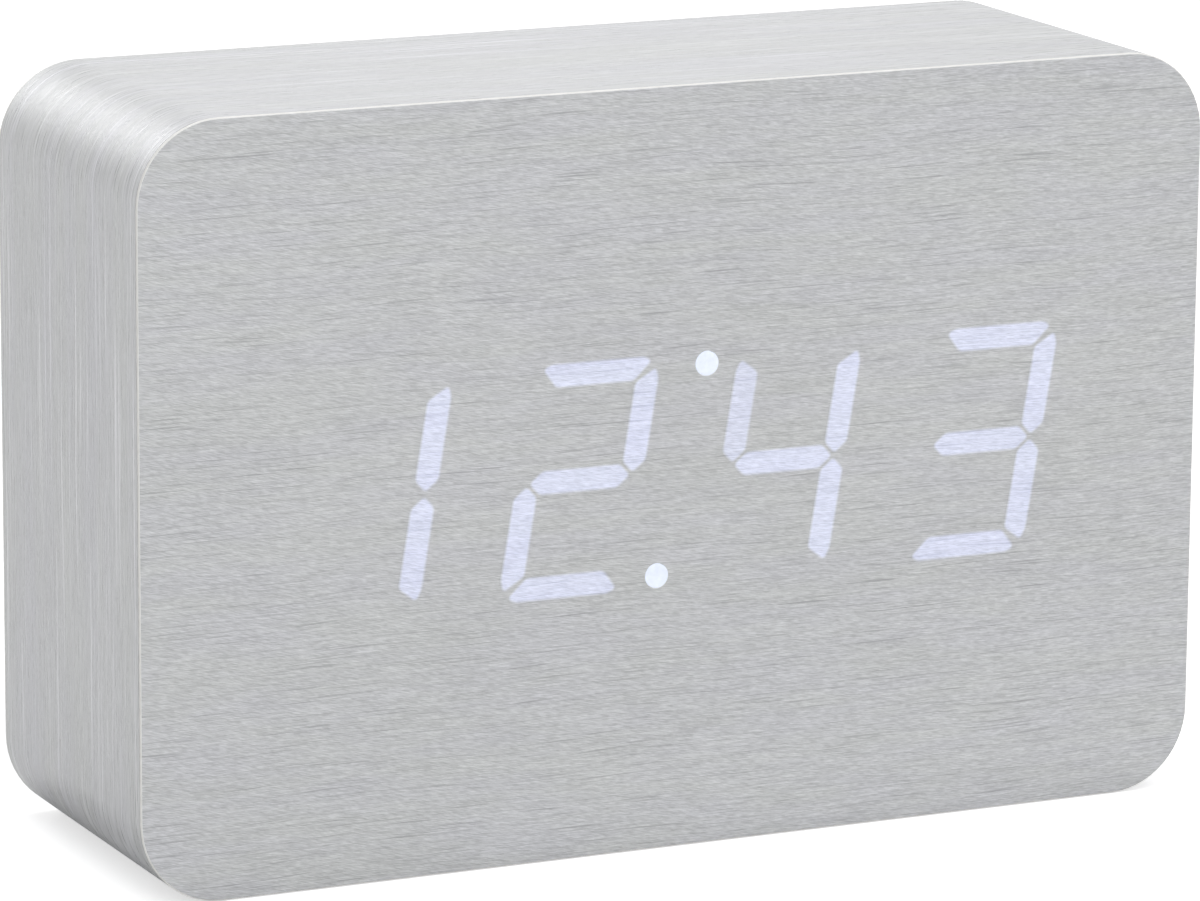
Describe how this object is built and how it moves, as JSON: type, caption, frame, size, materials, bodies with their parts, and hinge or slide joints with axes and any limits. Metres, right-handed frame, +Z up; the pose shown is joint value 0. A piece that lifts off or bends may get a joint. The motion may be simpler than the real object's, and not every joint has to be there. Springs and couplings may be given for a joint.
{
  "type": "digital led desk clock",
  "caption": "Block-shaped digital desk clock in brushed laminate whose slanted LED digits glow through the front; rear panel with battery bay, buttons, sound switch and power jack.",
  "frame": {"origin": "middle of the case's width and depth, on the surface that it stands on", "axes": "+X to the right seen from the front, +Y from the front face to the back, +Z up"},
  "size_m": [0.15, 0.049, 0.1],
  "materials": {
    "laminate": "brushed, with the light of the digits showing through",
    "fibreboard": "plain sawn",
    "black_moulding": "fine spark texture",
    "reflector_white": "satin",
    "lit_diffuser": "milky, glowing pale violet",
    "unlit_diffuser": "milky",
    "colon_lens": "clear, glowing near white",
    "led_body": "milky",
    "circuit_board": "green solder mask",
    "chip_black": "moulded epoxy",
    "screw_steel": "blackened zinc",
    "contact_nickel": "nickel plated",
    "cell_sleeve": "printed film, no text",
    "black_component": "satin",
    "bright_can": "drawn",
    "ribbon_grey": "ribbed flat cable",
    "socket_white": "plain nylon",
    "lead_red": "insulation",
    "pin_brass": "plated",
    "button_rubber": "matt",
    "sensor_bead": "epoxy"
  },
  "bodies": {
    "clock": {"front_skin": "laminate", "side_wrap": "laminate", "rear_skin": "laminate", "case_block": "fibreboard", "segment_reflector": "reflector_white", "lit_segments": "lit_diffuser", "unlit_segments": "unlit_diffuser", "colon_lenses": "colon_lens", "led_chips": "led_body", "display_board": "circuit_board", "display_screws": "screw_steel", "display_driver": "chip_black", "rear_panel": "black_moulding", "panel_screws": "screw_steel", "end_contacts": "contact_nickel", "bridge_contacts": "contact_nickel", "contact_springs": "contact_nickel", "control_board": "circuit_board", "control_screws": "screw_steel", "controller_chip": "chip_black", "crystal": "bright_can", "buzzer": "black_component", "capacitor": "black_component", "display_socket": "socket_white", "control_socket": "socket_white", "ribbon_cable": "ribbon_grey", "battery_leads": "lead_red", "sound_switch_case": "bright_can", "power_jack": "black_component", "jack_pin": "pin_brass", "microphone": "bright_can", "temperature_sensor": "sensor_bead", "cell_1": "cell_sleeve", "cell_2": "cell_sleeve", "cell_3": "cell_sleeve", "cell_4": "cell_sleeve", "set_switch": "bright_can", "up_switch": "bright_can", "down_switch": "bright_can"},
    "set_button": {"set_button": "button_rubber", "set_plunger": "black_component"},
    "up_button": {"up_button": "button_rubber", "up_plunger": "black_component"},
    "down_button": {"down_button": "button_rubber", "down_plunger": "black_component"},
    "sound_switch": {"sound_switch_knob": "black_moulding"},
    "battery_door": {"battery_door": "black_moulding"}
  },
  "joints": [
    {"name": "set_button_press", "type": "slide", "parent": "clock", "child": "set_button", "axis": [0, -1, 0], "range_m": [0, 0.0004], "stiffness_N_per_m": 5000},
    {"name": "up_button_press", "type": "slide", "parent": "clock", "child": "up_button", "axis": [0, -1, 0], "range_m": [0, 0.0004], "stiffness_N_per_m": 5000},
    {"name": "down_button_press", "type": "slide", "parent": "clock", "child": "down_button", "axis": [0, -1, 0], "range_m": [0, 0.0004], "stiffness_N_per_m": 5000},
    {"name": "sound_switch_slide", "type": "slide", "parent": "clock", "child": "sound_switch", "axis": [1, 0, 0], "range_m": [0, 0.002]},
    {"name": "battery_door_hinge", "type": "hinge", "parent": "clock", "child": "battery_door", "pos_m": [0.03173, 0.023, 0.0276], "axis": [-1, 0, 0], "range_deg": [0, 70]}
  ]
}
